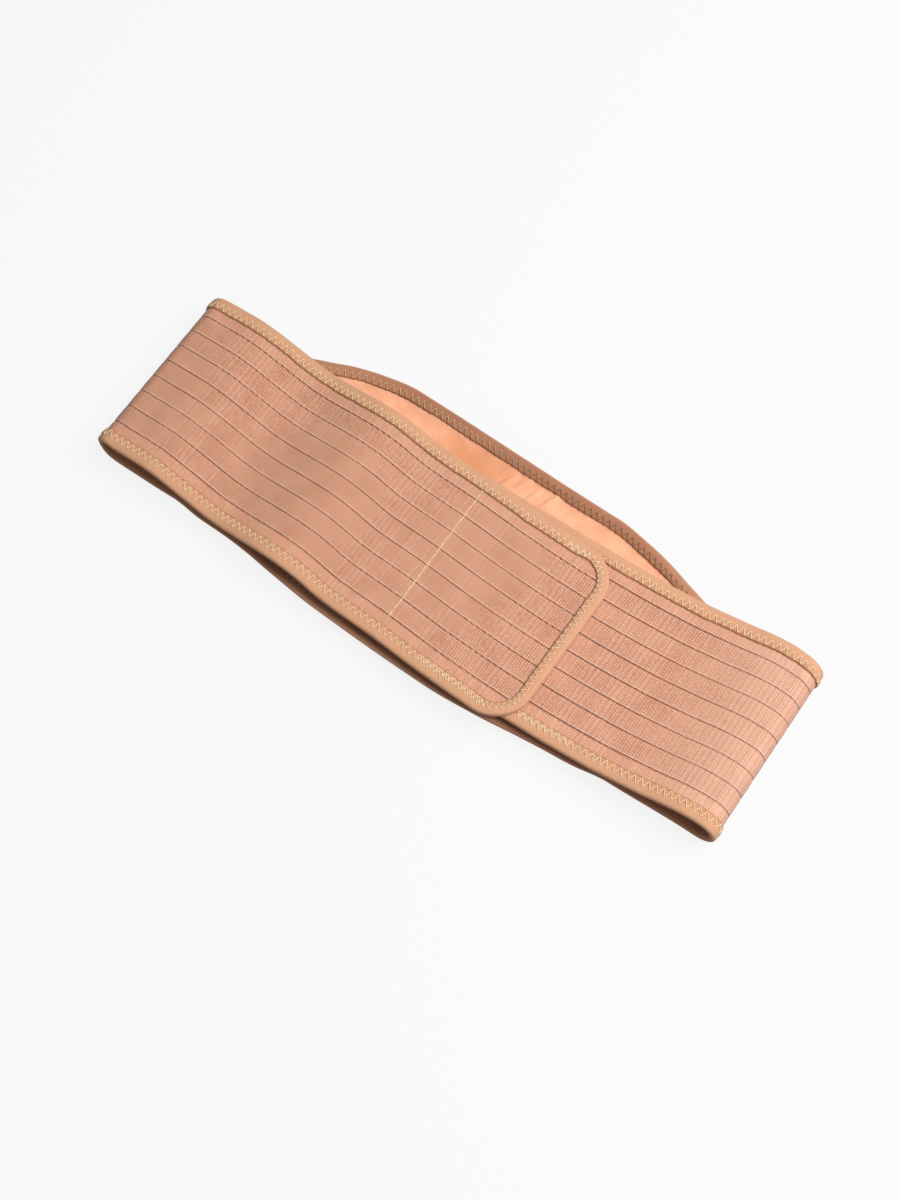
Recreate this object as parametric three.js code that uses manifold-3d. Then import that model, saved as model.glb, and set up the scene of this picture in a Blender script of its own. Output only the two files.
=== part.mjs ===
// A maternity support belt, closed into its loop and lying flat on a table.
// Two panels of ribbed elastic run from a taller, lined back panel round the folds to the front,
// where the left one laps over the right one and is held by a hook patch. A folded tape binds
// every edge. Lengths are in millimetres: +X along the folded belt, +Y up the body, +Z off the table.
import * as THREE from "three";
import { mergeVertices } from "three/addons/utils/BufferGeometryUtils.js";
import Module from "manifold-3d";

const wasm = await Module();
wasm.setup();

// Overall sizes of the folded belt
const foldedLength = 476;
const bandWidth = 133;
const backPanelLength = 340;
const backPanelShift = -5;
const archRise = 21.8;
const archDrop = 12.4;

// Cloth and tape
const elasticThickness = 2.3;
const shellThickness = 1;
const liningThickness = 1;
const tapeThickness = 1;
const tapeWidth = 10;
const endTapeWidth = 8;
const tapeEdgeChamfer = 1.5;
const clearance = 0.25;
const seamGap = 0.3;

// Ribs of the elastic: narrow grooves along the belt
const grooveCount = 8;
const groovePitch = 13.9;
const grooveWidth = 1.6;
const grooveDepth = 0.7;

// Front lap: the outer flap and the inner end that it covers
const flapReach = 99;
const innerReach = 54;
const cornerRadius = 26;
const layerGap = 0.3;
const hookPatchStart = -3;
const hookPatchMargin = 2;

// How the loop lies: its hollow, its height at the right fold, the flap's waves and the two sags
const hollowHeight = 6.5;
const rightFoldRise = 9;
const flapWave = 5;
const flapSag = 15.2;
const innerSag = 8.5;
const backTilt = 2.6;
const leftFoldLean = 5;

// Spacing of the sections along the belt, and the steps round a fold and a rounded corner
const sectionSpacing = 15;
const foldSteps = 8;
const cornerSteps = 6;

// Sizes that follow from the ones above
const halfLength = foldedLength / 2;
const halfWidth = bandWidth / 2;
const slotHalf = elasticThickness / 2 + clearance;
const tapeHalf = slotHalf + tapeThickness;
const clothEdge = halfWidth - tapeThickness - seamGap;
const layerSpacing = 2 * tapeHalf + layerGap;
const backLevel = tapeHalf;
const innerLevel = backLevel + 2 * tapeHalf + hollowHeight;
const flapLevel = innerLevel + layerSpacing;

// Tables along the belt. along: share of half the folded length, from the left fold at -1 to the
// right fold at 1. The second column is a share of the size that the table is used with.
const flapWaves = [
  { along: -0.95, share: 0.15 },
  { along: -0.82, share: 0.4 },
  { along: -0.59, share: -0.9 },
  { along: -0.36, share: 0.6 },
  { along: -0.19, share: 0 },
  { along: 0.42, share: 0 },
];
const innerRises = [
  { along: 0.46, share: 0 },
  { along: 0.63, share: 0.1 },
  { along: 0.76, share: 0.45 },
  { along: 0.92, share: 1 },
];
const flapSags = [
  { along: -0.86, share: 0 },
  { along: -0.7, share: 0.1 },
  { along: -0.59, share: 0.22 },
  { along: -0.42, share: 0.36 },
  { along: -0.3, share: 0.43 },
  { along: -0.17, share: 0.64 },
  { along: -0.04, share: 0.72 },
  { along: 0.17, share: 0.93 },
  { along: 0.34, share: 1 },
];
const innerSags = [
  { along: 0, share: 1 },
  { along: 0.44, share: 0.84 },
  { along: 0.63, share: 0.62 },
  { along: 0.76, share: 0.36 },
  { along: 0.94, share: 0 },
];
const backTilts = [
  { along: -0.8, share: 0 },
  { along: -0.45, share: 1 },
  { along: 0.4, share: -0.9 },
  { along: 0.7, share: -0.6 },
  { along: 0.92, share: 0 },
];
// along: share of half the back panel's length, from its middle. rise and drop: shares of how
// far its top edge rises and its bottom edge drops past the band's.
const archSteps = [
  { along: 0, rise: 1, drop: 1 },
  { along: 0.26, rise: 1, drop: 0.96 },
  { along: 0.47, rise: 1, drop: 0.74 },
  { along: 0.62, rise: 0.83, drop: 0.5 },
  { along: 0.74, rise: 0.6, drop: 0.35 },
  { along: 0.85, rise: 0.3, drop: 0.25 },
  { along: 1, rise: 0, drop: 0 },
];

// The smooth value of a table at a place: level beyond its ends, through every row between,
// and never past the higher or lower of two rows on the way from one to the other.
function tableAt(rows, along, column = "share") {
  const last = rows.length - 1;
  if (along <= rows[0].along) return rows[0][column];
  if (along >= rows[last].along) return rows[last][column];
  const steepness = (k) =>
    (rows[k + 1][column] - rows[k][column]) / (rows[k + 1].along - rows[k].along);
  const slopeAt = (k) => {
    if (k === 0 || k === last) return 0;
    const before = steepness(k - 1);
    const after = steepness(k);
    return before * after > 0 ? (2 * before * after) / (before + after) : 0;
  };
  const i = rows.findIndex((row) => row.along > along) - 1;
  const span = rows[i + 1].along - rows[i].along;
  const t = (along - rows[i].along) / span;
  return (
    rows[i][column] * (1 + 2 * t) * (1 - t) ** 2 +
    rows[i + 1][column] * (3 - 2 * t) * t ** 2 +
    slopeAt(i) * span * t * (1 - t) ** 2 -
    slopeAt(i + 1) * span * (1 - t) * t ** 2
  );
}

// The three layers of the loop. height: of the middle of the cloth over the table. middle: where the
// cloth's centre line runs in Y. facing: 1 where the outer side looks up, -1 where it looks down.
const flapLayer = {
  height: (x) => flapLevel + flapWave * tableAt(flapWaves, x / halfLength),
  middle: (x) => -flapSag * tableAt(flapSags, x / halfLength),
  facing: 1,
};
const innerLayer = {
  height: (x) => innerLevel + rightFoldRise * tableAt(innerRises, x / halfLength),
  middle: (x) => -innerSag * tableAt(innerSags, x / halfLength),
  facing: 1,
};
const backLayer = {
  height: () => backLevel,
  middle: (x) => backTilt * tableAt(backTilts, x / halfLength),
  facing: -1,
};

const archAt = (x, column) =>
  tableAt(archSteps, Math.abs(x - backPanelShift) / (backPanelLength / 2), column);
const leanAt = (x) => (leftFoldLean / bandWidth) * Math.min(0, x / halfLength) ** 2;

// One section of the belt, across a layer at x: a place, the outward normal and the two edges.
function section(layer, x) {
  const step = 0.5;
  const slope = (layer.height(x + step) - layer.height(x - step)) / (2 * step);
  const length = Math.hypot(1, slope);
  const arched = layer === backLayer;
  return {
    x,
    z: layer.height(x),
    normalX: (-layer.facing * slope) / length,
    normalZ: layer.facing / length,
    middle: layer.middle(x),
    lean: leanAt(x),
    top: halfWidth + (arched ? archRise * archAt(x, "rise") : 0),
    bottom: halfWidth + (arched ? archDrop * archAt(x, "drop") : 0),
  };
}

// The sections along a layer through the given stops, with the ones between on a shared grid, so
// that pieces that lie on or in each other have their facets in line.
function run(layer, ...stops) {
  const places = [stops[0]];
  const apart = sectionSpacing / 3;
  for (let i = 1; i < stops.length; i++) {
    const low = Math.min(stops[i - 1], stops[i]);
    const high = Math.max(stops[i - 1], stops[i]);
    const between = [];
    for (let k = Math.ceil(low / sectionSpacing); k * sectionSpacing < high; k++) {
      const x = k * sectionSpacing;
      if (x - low > apart && high - x > apart) between.push(x);
    }
    if (stops[i] < stops[i - 1]) between.reverse();
    places.push(...between, stops[i]);
  }
  return places.map((x) => section(layer, x));
}

// The round fold at one end of the loop, between the layer above and the back.
const foldRadius = (above, side) => (above.height(side * halfLength) - backLevel) / 2;
const foldCentre = (above, side) =>
  side * (halfLength - tapeHalf - foldRadius(above, side));
function fold(above, side) {
  const radius = foldRadius(above, side);
  const centre = foldCentre(above, side);
  const sections = [];
  for (let k = 1; k < foldSteps; k++) {
    const angle = (Math.PI * k) / foldSteps;
    sections.push({
      x: centre + side * radius * Math.sin(angle),
      z: backLevel + radius + radius * Math.cos(angle),
      normalX: side * Math.sin(angle),
      normalZ: Math.cos(angle),
      middle: 0,
      lean: leanAt(centre),
      top: halfWidth,
      bottom: halfWidth,
    });
  }
  return sections;
}

// A point of a section: across it from the centre line, and out from the middle of the cloth.
const pointOn = (s, across, out) => [
  s.x + out * s.normalX - across * s.lean,
  s.middle + across,
  s.z + out * s.normalZ,
];

// The volume inside a closed mesh of triangles, negative where its faces point inwards.
function volumeOf(points, index) {
  let volume = 0;
  for (let i = 0; i < index.length; i += 3) {
    const [a, b, c] = index.slice(i, i + 3).map((k) => points[k]);
    volume += a[0] * (b[1] * c[2] - b[2] * c[1]);
    volume += a[1] * (b[2] * c[0] - b[0] * c[2]);
    volume += a[2] * (b[0] * c[1] - b[1] * c[0]);
  }
  return volume / 6;
}

// A closed solid through rings of points, one for each place along it. outline is the shape of
// a ring in the plane, from which its two flat ends are made.
function loft(rings, outline) {
  const flat = outline.map(([a, b]) => new THREE.Vector2(a, b));
  const turned = THREE.ShapeUtils.isClockWise(flat);
  const inOrder = (list) => (turned ? [...list].reverse() : list);
  const points = rings.flatMap(inOrder);
  const count = outline.length;
  const far = points.length - count;
  const index = [];
  for (let a = 0; a < far; a++) {
    const b = a % count === count - 1 ? a + 1 - count : a + 1;
    index.push(a, a + count, b, b, a + count, b + count);
  }
  for (const [a, b, c] of THREE.ShapeUtils.triangulateShape(inOrder(flat), [])) {
    index.push(a, b, c);
    index.push(far + a, far + c, far + b);
  }
  if (volumeOf(points, index) < 0) index.reverse();
  const geometry = new THREE.BufferGeometry();
  geometry.setAttribute("position", new THREE.Float32BufferAttribute(points.flat(), 3));
  geometry.setIndex(index);
  geometry.computeVertexNormals();
  return geometry;
}

// A solid along a run of sections, with the outline that each section has.
const strip = (sections, outlineAt) =>
  loft(
    sections.map((s) => outlineAt(s).map(([across, out]) => pointOn(s, across, out))),
    outlineAt(sections[0]),
  );

// The ribbed elastic's outline: grooves in its outer side, the inner side plain.
function elasticOutline() {
  const half = elasticThickness / 2;
  const outer = [];
  for (let k = 0; k < grooveCount; k++) {
    const centre = (k - (grooveCount - 1) / 2) * groovePitch;
    outer.push([centre - grooveWidth / 2, half]);
    outer.push([centre, half - grooveDepth]);
    outer.push([centre + grooveWidth / 2, half]);
  }
  return [
    [-clothEdge, -half],
    [-clothEdge, half],
    ...outer,
    [clothEdge, half],
    [clothEdge, -half],
  ];
}

// A plain sheet's outline, between two depths, up to the slots of the top and bottom tapes.
const sheetOutline = (s, low, high) => {
  const edge = halfWidth - clothEdge;
  return [
    [edge - s.bottom, low],
    [edge - s.bottom, high],
    [s.top - edge, high],
    [s.top - edge, low],
  ];
};

// The folded tape's outline. in: how far inside the belt's edge. out: from the middle of the cloth.
const tapeOutline = (width) => [
  { in: width, out: -tapeHalf },
  { in: tapeEdgeChamfer, out: -tapeHalf },
  { in: 0, out: tapeEdgeChamfer - tapeHalf },
  { in: 0, out: tapeHalf - tapeEdgeChamfer },
  { in: tapeEdgeChamfer, out: tapeHalf },
  { in: width, out: tapeHalf },
  { in: width, out: slotHalf },
  { in: tapeThickness, out: slotHalf },
  { in: tapeThickness, out: -slotHalf },
  { in: width, out: -slotHalf },
];
const topTape = (s) => tapeOutline(tapeWidth).map((p) => [s.top - p.in, p.out]);
const bottomTape = (s) => tapeOutline(tapeWidth).map((p) => [p.in - s.bottom, p.out]);

// The tape round a lap's rounded end. side: 1 for an end that points to +X, -1 to -X.
function endTape(layer, reach, side) {
  const arcX = reach - cornerRadius;
  const arcY = halfWidth - cornerRadius;
  const places = [];
  for (const half of [1, -1])
    for (let k = 0; k <= cornerSteps; k++) {
      const turned = half > 0 ? k : cornerSteps - k;
      const angle = (Math.PI / 2) * (1 - turned / cornerSteps);
      places.push({ x: arcX, y: half * arcY, dirX: Math.cos(angle), dirY: half * Math.sin(angle) });
    }
  const outline = tapeOutline(endTapeWidth);
  const ring = (place) =>
    outline.map((p) => {
      const radius = cornerRadius - p.in;
      const x = side * (place.x + radius * place.dirX);
      return pointOn(section(layer, x), place.y + radius * place.dirY, p.out);
    });
  return loft(
    places.map(ring),
    outline.map((p) => [p.in, p.out]),
  );
}

// Boolean work: a closed geometry as a solid, and back.
function solidOf(geometry) {
  const bare = new THREE.BufferGeometry();
  bare.setAttribute("position", geometry.getAttribute("position"));
  bare.setIndex(geometry.getIndex());
  const merged = mergeVertices(bare, 1e-4);
  return new wasm.Manifold(
    new wasm.Mesh({
      numProp: 3,
      vertProperties: new Float32Array(merged.getAttribute("position").array),
      triVerts: new Uint32Array(merged.getIndex().array),
    }),
  );
}
function geometryOf(solid) {
  const mesh = solid.getMesh();
  const geometry = new THREE.BufferGeometry();
  geometry.setAttribute("position", new THREE.Float32BufferAttribute(mesh.vertProperties, 3));
  geometry.setIndex([...mesh.triVerts]);
  geometry.computeVertexNormals();
  return geometry;
}

// The waste outside a lap's two rounded corners, cut from the elastic so that it fits its tape.
function roundedEnd(elastic, layer, reach, side) {
  const inset = halfWidth - clothEdge;
  const radius = cornerRadius - inset;
  const arcX = reach - cornerRadius;
  const arcY = halfWidth - cornerRadius;
  const beyond = cornerRadius;
  const cutHeight = 2 * (flapLevel + flapWave + rightFoldRise);
  let cut = solidOf(elastic);
  for (const half of [1, -1]) {
    const outline = [[arcX, half * (halfWidth + beyond)]];
    for (let k = 0; k <= cornerSteps; k++) {
      const angle = (Math.PI / 2) * (1 - k / cornerSteps);
      outline.push([arcX + radius * Math.cos(angle), half * (arcY + radius * Math.sin(angle))]);
    }
    outline.push([reach + beyond, half * arcY]);
    outline.push([reach + beyond, half * (halfWidth + beyond)]);
    const points = outline.map(
      ([x, y]) => new THREE.Vector2(side * x, y + layer.middle(side * Math.min(x, reach))),
    );
    const waste = new THREE.ExtrudeGeometry(new THREE.Shape(points), {
      depth: cutHeight,
      bevelEnabled: false,
    });
    waste.deleteAttribute("normal");
    waste.deleteAttribute("uv");
    cut = cut.subtract(solidOf(mergeVertices(waste, 1e-4)));
  }
  return geometryOf(cut);
}

// The routes of the two elastic panels, each from its lap round a fold to the back panel's seam,
// and of the back panel between the seams. The edge tapes are in the same three lengths.
const leftSeam = backPanelShift - backPanelLength / 2;
const rightSeam = backPanelShift + backPanelLength / 2;
const leftCentre = foldCentre(flapLayer, -1);
const rightCentre = foldCentre(innerLayer, 1);
const roundLeft = (reach) => [
  ...run(flapLayer, reach, leftCentre),
  ...fold(flapLayer, -1),
  ...run(backLayer, leftCentre, leftSeam - seamGap),
];
const roundRight = (reach) => [
  ...run(innerLayer, -reach, rightCentre),
  ...fold(innerLayer, 1),
  ...run(backLayer, rightCentre, rightSeam + seamGap),
];
const backRoute = run(backLayer, leftSeam, rightSeam);

const lapInset = halfWidth - clothEdge;
const leftRoute = roundLeft(flapReach - lapInset);
const rightRoute = roundRight(innerReach - lapInset);
const leftTapeRoute = roundLeft(flapReach - cornerRadius - seamGap);
const rightTapeRoute = roundRight(innerReach - cornerRadius - seamGap);
const leftElastic = roundedEnd(
  strip(leftRoute, elasticOutline),
  flapLayer,
  flapReach,
  1,
);
const rightElastic = roundedEnd(
  strip(rightRoute, elasticOutline),
  innerLayer,
  innerReach,
  -1,
);

// The back panel's outer shell and its lining lie together in the slots of the tapes.
const half = elasticThickness / 2;
const backShell = strip(backRoute, (s) => sheetOutline(s, half - shellThickness, half));
const backLining = strip(backRoute, (s) => sheetOutline(s, -half, liningThickness - half));

// The hook patch fills the lap between the tapes of both layers.
function hookPatchOutline(s) {
  const inner = halfWidth - tapeWidth - hookPatchMargin;
  const shift = innerLayer.middle(s.x) - flapLayer.middle(s.x);
  const low = Math.max(-inner, shift - inner);
  const high = Math.min(inner, shift + inner);
  const under = -elasticThickness / 2 - seamGap;
  const deep = elasticThickness / 2 + seamGap - layerSpacing;
  return [
    [low, deep],
    [low, under],
    [high, under],
    [high, deep],
  ];
}
const hookPatchEnd = flapReach - cornerRadius;
const hookPatch = strip(run(flapLayer, hookPatchEnd, hookPatchStart), hookPatchOutline);

const cloth = (color, roughness) =>
  new THREE.MeshStandardMaterial({ color, roughness, metalness: 0 });
const elasticCloth = cloth(0xd69c7d, 0.85);
const shellCloth = cloth(0xcf9877, 0.9);
const liningCloth = cloth(0xf2b08a, 0.95);
const tapeCloth = cloth(0xcd9c72, 0.8);
const hookCloth = cloth(0xc79a7c, 0.9);

const belt = new THREE.Group();
function addPiece(name, geometry, material) {
  const piece = new THREE.Mesh(geometry, material);
  piece.name = name;
  belt.add(piece);
}
addPiece("left_elastic_panel", leftElastic, elasticCloth);
addPiece("right_elastic_panel", rightElastic, elasticCloth);
addPiece("back_panel", backShell, shellCloth);
addPiece("back_lining", backLining, liningCloth);
addPiece("left_top_binding", strip(leftTapeRoute, topTape), tapeCloth);
addPiece("left_bottom_binding", strip(leftTapeRoute, bottomTape), tapeCloth);
addPiece("right_top_binding", strip(rightTapeRoute, topTape), tapeCloth);
addPiece("right_bottom_binding", strip(rightTapeRoute, bottomTape), tapeCloth);
addPiece("back_top_binding", strip(backRoute, topTape), tapeCloth);
addPiece("back_bottom_binding", strip(backRoute, bottomTape), tapeCloth);
addPiece("flap_end_binding", endTape(flapLayer, flapReach, 1), tapeCloth);
addPiece("inner_end_binding", endTape(innerLayer, innerReach, -1), tapeCloth);
addPiece("hook_patch", hookPatch, hookCloth);

// The origin is on the table, under the middle of the belt's outline.
const bounds = new THREE.Box3().setFromObject(belt);
const centre = bounds.getCenter(new THREE.Vector3());
belt.position.set(-centre.x, -centre.y, -bounds.min.z);

export default belt;
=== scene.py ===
# A maternity support belt, closed into its loop and lying pressed flat on a white table.
# Each piece is cut and sewn flat, and then laid on the way that the belt takes round the loop.
# Lengths are in metres: +X along the folded belt, +Y up the body as worn, +Z off the table.
import math
import random

import bpy
import numpy as np
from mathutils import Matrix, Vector


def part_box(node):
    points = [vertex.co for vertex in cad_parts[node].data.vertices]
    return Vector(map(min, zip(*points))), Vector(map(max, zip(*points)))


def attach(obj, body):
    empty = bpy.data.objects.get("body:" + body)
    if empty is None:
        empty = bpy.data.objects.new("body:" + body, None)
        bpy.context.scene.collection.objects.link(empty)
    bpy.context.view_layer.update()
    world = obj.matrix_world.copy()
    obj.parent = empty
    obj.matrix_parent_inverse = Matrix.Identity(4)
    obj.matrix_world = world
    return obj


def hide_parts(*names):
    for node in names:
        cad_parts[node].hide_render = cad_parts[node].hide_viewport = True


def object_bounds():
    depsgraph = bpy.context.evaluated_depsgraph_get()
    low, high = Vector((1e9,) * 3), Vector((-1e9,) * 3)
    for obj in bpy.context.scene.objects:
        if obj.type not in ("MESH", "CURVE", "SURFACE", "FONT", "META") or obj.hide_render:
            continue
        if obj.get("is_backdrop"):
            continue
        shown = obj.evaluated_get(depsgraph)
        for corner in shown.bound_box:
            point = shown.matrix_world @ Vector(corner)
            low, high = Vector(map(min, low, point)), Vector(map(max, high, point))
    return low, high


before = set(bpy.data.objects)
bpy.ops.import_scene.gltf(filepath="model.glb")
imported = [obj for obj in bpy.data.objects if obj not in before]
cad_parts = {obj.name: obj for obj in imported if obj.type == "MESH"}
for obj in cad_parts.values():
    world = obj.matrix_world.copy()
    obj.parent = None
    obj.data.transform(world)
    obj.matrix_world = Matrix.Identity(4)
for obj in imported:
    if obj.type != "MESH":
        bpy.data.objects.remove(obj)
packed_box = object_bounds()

# Left elastic panel: one width of woven elastic with eight sunken ribs, cut to length and rounded
# at its free end. It is sewn to the back panel's left seam, and runs from there round the left
# fold and over the front as the flap. The layers that it lies on are set out here first.
folded_length = 0.476
band_width = 0.133
half_length = folded_length / 2
half_width = band_width / 2
elastic_thickness = 0.0023
tape_half = 0.0024
cloth_edge = 0.0652
back_level = tape_half
inner_level = 0.0137
flap_level = 0.0188
back_panel_length = 0.34
back_panel_shift = -0.005
left_seam = back_panel_shift - back_panel_length / 2
right_seam = back_panel_shift + back_panel_length / 2
seam_gap = 0.0003
flap_reach = 0.099
inner_reach = 0.054
corner_radius = 0.026
lap_inset = half_width - cloth_edge
arch_rise = 0.0218
arch_drop = 0.0124

# The back panel's two arched edges curl up off the table. For its height, the top curl draws its
# edge in, and the lower one lets its edge out.
curl_height = 0.0065
curl_width = 0.019
curl_drawn_in = 0.45
lower_curl_height = 0.0055
lower_curl_width = 0.016
lower_curl_let_out = 0.375

# The table's origin, seen from the middle of the folded belt
shift_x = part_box("back_panel")[1][0] - right_seam
shift_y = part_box("right_elastic_panel")[1][1] - cloth_edge

# The layers' waves and slants, as heights and as shares of them along the belt, from the left
# fold at -1 to the right fold at 1
wave_height = 0.005
inner_rise = 0.009
flap_sag = 0.0152
inner_sag = 0.0085
back_tilt = 0.0026
left_lean = 0.005
flap_waves = [(-0.95, 0.15), (-0.82, 0.4), (-0.59, -0.9), (-0.36, 0.6), (-0.19, 0), (0.42, 0)]
inner_rises = [(0.46, 0), (0.63, 0.1), (0.76, 0.45), (0.92, 1)]
flap_sags = [
    (-0.86, 0), (-0.7, 0.1), (-0.59, 0.22), (-0.42, 0.36), (-0.3, 0.43),
    (-0.17, 0.64), (-0.04, 0.72), (0.17, 0.93), (0.34, 1),
]
inner_sags = [(0, 1), (0.44, 0.84), (0.63, 0.62), (0.76, 0.36), (0.94, 0)]
back_tilts = [(-0.8, 0), (-0.45, 1), (0.4, -0.9), (0.7, -0.6), (0.92, 0)]
# Shares of the back panel's rise and drop, from its middle to its seams
arch_rises = [(0, 1), (0.47, 1), (0.62, 0.83), (0.74, 0.6), (0.85, 0.3), (1, 0)]
arch_drops = [(0, 1), (0.26, 0.96), (0.47, 0.74), (0.62, 0.5), (0.74, 0.35), (0.85, 0.25), (1, 0)]


def share_at(rows, along):
    """The smooth value of a table of shares: through every row, and level beyond its ends."""
    places, shares = np.array(rows).T
    steepness = np.diff(shares) / np.diff(places)
    before, after = steepness[:-1], steepness[1:]
    same_way = before * after > 0
    slopes = np.zeros(len(places))
    slopes[1:-1][same_way] = (2 * before * after)[same_way] / (before + after)[same_way]
    at = np.clip(along, places[0], places[-1])
    i = np.clip(np.searchsorted(places, at, side="right") - 1, 0, len(places) - 2)
    span = places[i + 1] - places[i]
    t = (at - places[i]) / span
    return (
        shares[i] * (1 + 2 * t) * (1 - t) ** 2
        + shares[i + 1] * (3 - 2 * t) * t**2
        + slopes[i] * span * t * (1 - t) ** 2
        - slopes[i + 1] * span * (1 - t) * t**2
    )


def flap_layer(x):
    height = flap_level + wave_height * share_at(flap_waves, x / half_length)
    return height, -flap_sag * share_at(flap_sags, x / half_length), half_width, half_width


def inner_layer(x):
    height = inner_level + inner_rise * share_at(inner_rises, x / half_length)
    return height, -inner_sag * share_at(inner_sags, x / half_length), half_width, half_width


def back_layer(x):
    along_panel = np.abs(x - back_panel_shift) / (back_panel_length / 2)
    top = half_width + arch_rise * share_at(arch_rises, along_panel)
    bottom = half_width + arch_drop * share_at(arch_drops, along_panel)
    return 0 * x + back_level, back_tilt * share_at(back_tilts, x / half_length), top, bottom


def lean(x):
    """How far the belt's cross lines lean near its left fold."""
    return left_lean / band_width * np.minimum(0, x / half_length) ** 2


def stations(layer, x):
    """A layer at some x: place, outward normal, centre line, lean, and its two edges."""
    x = np.asarray(x, float)
    step = 0.0005
    height, middle, top, bottom = layer(x)
    slope = (layer(x + step)[0] - layer(x - step)[0]) / (2 * step)
    facing = -1 if layer is back_layer else 1
    length = facing * np.hypot(1, slope)
    ones = np.ones(x.shape)
    return np.stack(
        [x, height, -slope / length, 1 / length, middle, lean(x), ones * top, ones * bottom], -1
    )


def stretch(layer, start, stop):
    return stations(layer, np.linspace(start, stop, 2 + int(abs(stop - start) / 0.001)))


def fold(layer, side):
    """The round fold at one end of the loop, from the back up to a layer."""
    radius = (layer(np.array(side * half_length))[0] - back_level) / 2
    centre = side * (half_length - tape_half - radius)
    angle = np.linspace(math.pi, 0, 40)
    ones = np.ones(angle.shape)
    rows = [
        centre + side * radius * np.sin(angle),
        back_level + radius + radius * np.cos(angle),
        side * np.sin(angle),
        np.cos(angle),
        0 * ones,
        lean(centre) * ones,
        half_width * ones,
        half_width * ones,
    ]
    return centre, np.stack(rows, -1)


# Where the tapes start to draw the belt's corners in, over what length, and how far
right_pull_start, right_pull_length, right_pull = 0.188, 0.05, 0.0045
left_pull_start, left_pull_length, left_pull = -0.215, 0.023, 0.0025


def pulled_in(x, across):
    """How far the tapes draw the belt's corners in at its folds."""
    right = np.clip((x - right_pull_start) / right_pull_length, 0, 1) ** 2
    left = np.clip((left_pull_start - x) / left_pull_length, 0, 1) ** 3
    pull = np.where(across > 0, right_pull * right + left_pull * left, left_pull * left)
    return np.sign(across) * pull * (across / half_width) ** 2


class Course:
    """The way that a length of the belt takes round the loop, at the middle of its cloth."""

    def __init__(self, *runs):
        self.rows = np.concatenate(runs)
        steps = np.hypot(*np.diff(self.rows[:, :2], axis=0).T)
        self.reach = np.concatenate([[0], np.cumsum(steps)])
        self.length = self.reach[-1]

    def edges(self, along):
        return [np.interp(along, self.reach, self.rows[:, k]) for k in (6, 7)]

    def place(self, along, across, out):
        x, z, normal_x, normal_z, middle, leaning = [
            np.interp(along, self.reach, self.rows[:, k]) for k in range(6)
        ]
        long = np.hypot(normal_x, normal_z)
        top, bottom = self.edges(along)
        upper = (top - half_width) / arch_rise * curl_height
        upper *= np.clip(1 - (top - across) / curl_width, 0, 1) ** 2
        lower = (bottom - half_width) / arch_drop * lower_curl_height
        lower *= np.clip(1 - (bottom + across) / lower_curl_width, 0, 1) ** 2
        across = across - pulled_in(x, across) - curl_drawn_in * upper - lower_curl_let_out * lower
        return np.stack(
            [
                x + out * normal_x / long - across * leaning + shift_x,
                middle + across + shift_y,
                z + out * normal_z / long + upper + lower,
            ],
            -1,
        )

    def along_at(self, x, facing=1):
        """How far along the course a place x of its upper or lower layer is."""
        rows = np.flatnonzero(np.sign(self.rows[:, 3]) == facing)
        order = rows[np.argsort(self.rows[rows, 0])]
        return np.interp(x, self.rows[order, 0], self.reach[order])


left_centre, left_fold = fold(flap_layer, -1)
right_centre, right_fold = fold(inner_layer, 1)
left_course = Course(
    stretch(back_layer, left_seam - seam_gap, left_centre),
    left_fold[1:-1],
    stretch(flap_layer, left_centre, flap_reach - lap_inset),
)
right_course = Course(
    stretch(inner_layer, lap_inset - inner_reach, right_centre),
    right_fold[::-1][1:-1],
    stretch(back_layer, right_centre, right_seam + seam_gap),
)
rib_pitch = 0.0139
rib_centres = [(k - 3.5) * rib_pitch for k in range(8)]
rib_half = 0.0008
rib_depth = 0.0006
rib_sway = 0.00022
rope_pitch = 0.0048
crown_height = 0.00018
crown_reach = 0.007


def flat_cloth(name, alongs, acrosses):
    """A flat grid of cloth with lines at these places, and a UV map that holds them in metres."""
    bpy.ops.object.select_all(action="DESELECT")
    bpy.ops.mesh.primitive_grid_add(
        x_subdivisions=len(alongs) - 1, y_subdivisions=len(acrosses) - 1, size=1
    )
    piece = bpy.context.object
    piece.name = name
    piece.data.name = name
    spots = points_of(piece) + 0.5
    x = np.interp(spots[:, 0], np.linspace(0, 1, len(alongs)), alongs)
    y = np.interp(spots[:, 1], np.linspace(0, 1, len(acrosses)), acrosses)
    lay_flat(piece, x, y)
    return piece


def points_of(piece):
    points = np.empty(3 * len(piece.data.vertices))
    piece.data.vertices.foreach_get("co", points)
    return points.reshape(-1, 3)


def set_points(piece, points):
    piece.data.vertices.foreach_set("co", np.ascontiguousarray(points).ravel())
    piece.data.update()


def lay_flat(piece, x, y):
    """Puts a grid's points at these flat places, and its UV map too."""
    set_points(piece, np.stack([x, y, 0 * x], -1))
    corner_points = np.empty(len(piece.data.loops), int)
    piece.data.loops.foreach_get("vertex_index", corner_points)
    flat = np.stack([x, y], -1)[corner_points]
    piece.data.uv_layers[0].data.foreach_set("uv", flat.ravel())


def thicken(piece, thickness):
    """Solidify, applied: the sheet's second face and its rim, to both sides of its middle."""
    bpy.context.view_layer.objects.active = piece
    wall = piece.modifiers.new("wall", "SOLIDIFY")
    wall.thickness = thickness
    wall.offset = 0.0
    bpy.ops.object.modifier_apply(modifier="wall")


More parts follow.
